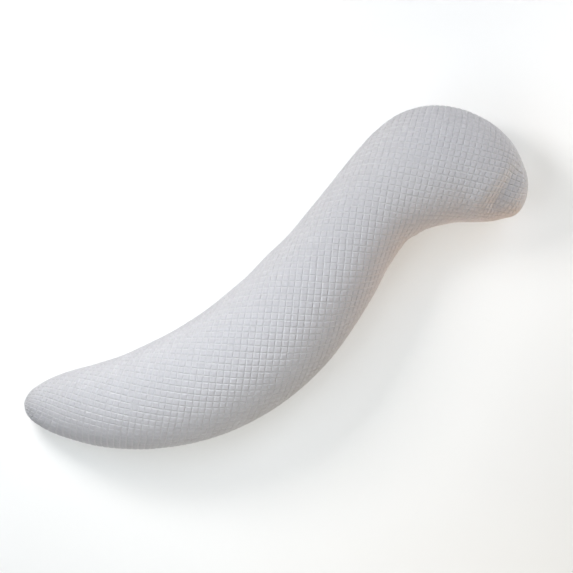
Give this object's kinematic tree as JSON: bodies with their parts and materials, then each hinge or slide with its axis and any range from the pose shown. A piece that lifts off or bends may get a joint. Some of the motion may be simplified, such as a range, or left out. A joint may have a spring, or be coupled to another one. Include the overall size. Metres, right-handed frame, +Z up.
{
  "type": "body pillow",
  "caption": "Long S-curved body pillow in a pale waffle-knit cover: slim foot, full middle, narrower neck and a wide head that hooks to one side.",
  "frame": {"origin": "on the surface that the pillow lies on, at the middle of its footprint's box", "axes": "+X from the foot's end to the head's end, +Y to the side that the head hooks away from, +Z up"},
  "size_m": [1.1497, 0.3366, 0.2272],
  "materials": {
    "waffle_knit": "matt pale grey-white waffle knit of small puffed squares, about 13.5 mm apart"
  },
  "bodies": {
    "root": {"pillow_body": "waffle_knit"}
  },
  "joints": []
}
